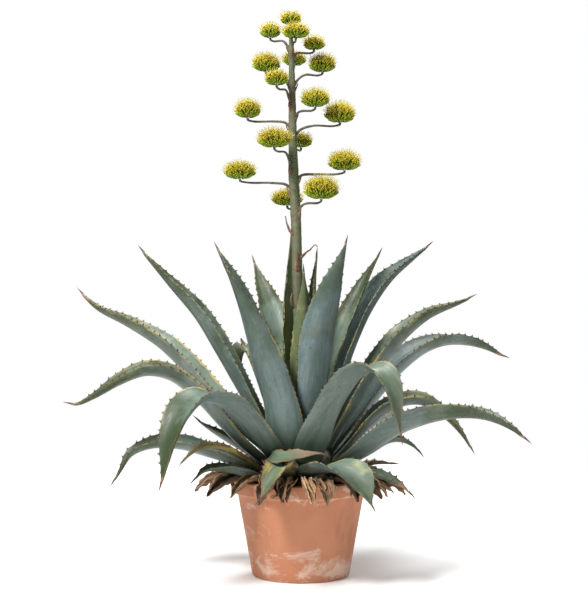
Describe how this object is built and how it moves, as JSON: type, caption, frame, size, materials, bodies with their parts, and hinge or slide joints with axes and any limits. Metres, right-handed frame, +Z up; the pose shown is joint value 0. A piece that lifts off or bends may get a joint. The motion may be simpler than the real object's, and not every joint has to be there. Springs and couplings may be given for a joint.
{
  "type": "potted century plant",
  "caption": "Century plant with a rosette of toothed succulent leaves and a tall branched flower stalk, growing in a plain terracotta pot.",
  "frame": {"origin": "centre of the pot's flat underside", "axes": "+Z up along the pot's axis, -Y towards the viewer of the picture, +X to the viewer's right"},
  "size_m": [1.5089, 1.0926, 1.846],
  "materials": {
    "terracotta": "matte",
    "soil": "matte",
    "stem": "matte",
    "leaves": "satin",
    "flowers": "matte",
    "dead_leaves": "matte"
  },
  "bodies": {
    "root": {"pot": "terracotta", "soil": "soil", "stem": "stem", "leaf_left_long": "leaves", "leaf_left_wave": "leaves", "leaf_left_high": "leaves", "leaf_back_left_high": "leaves", "leaf_front_left_high": "leaves", "leaf_back_high": "leaves", "leaf_heart_back": "leaves", "leaf_heart_front": "leaves", "leaf_heart_right": "leaves", "leaf_front_right_high": "leaves", "leaf_right_blade": "leaves", "leaf_right_high": "leaves", "leaf_right_rising": "leaves", "leaf_right_arch": "leaves", "leaf_front_right_bent": "leaves", "leaf_right_low_arch": "leaves", "leaf_right_drooping": "leaves", "leaf_right_low": "leaves", "leaf_right_half_dry": "leaves", "leaf_right_dry_end": "leaves", "leaf_front_hanging": "leaves", "leaf_front_yellow": "leaves", "leaf_front_withered": "leaves", "leaf_front_left_bent": "leaves", "leaf_left_low_arch": "leaves", "leaf_left_yellow": "leaves", "leaf_left_dark": "leaves", "leaf_left_low": "leaves", "leaf_back_left_arch": "leaves", "leaf_back_1": "leaves", "leaf_back_2": "leaves", "leaf_back_3": "leaves", "leaf_back_4": "leaves", "leaf_back_5": "leaves", "leaf_back_6": "leaves", "leaf_back_7": "leaves", "flower_head_01": "flowers", "flower_head_02": "flowers", "flower_head_03": "flowers", "flower_head_04": "flowers", "flower_head_05": "flowers", "flower_head_06": "flowers", "flower_head_07": "flowers", "flower_head_08": "flowers", "flower_head_09": "flowers", "flower_head_10": "flowers", "flower_head_11": "flowers", "flower_head_12": "flowers", "flower_head_13": "flowers", "flower_head_14": "flowers", "flower_head_15": "flowers", "flower_head_16": "flowers", "flower_head_17": "flowers", "dry_leaves_left": "dead_leaves", "dry_leaves_front": "dead_leaves", "dry_leaves_right": "dead_leaves", "dry_leaves_back": "dead_leaves"}
  },
  "joints": []
}
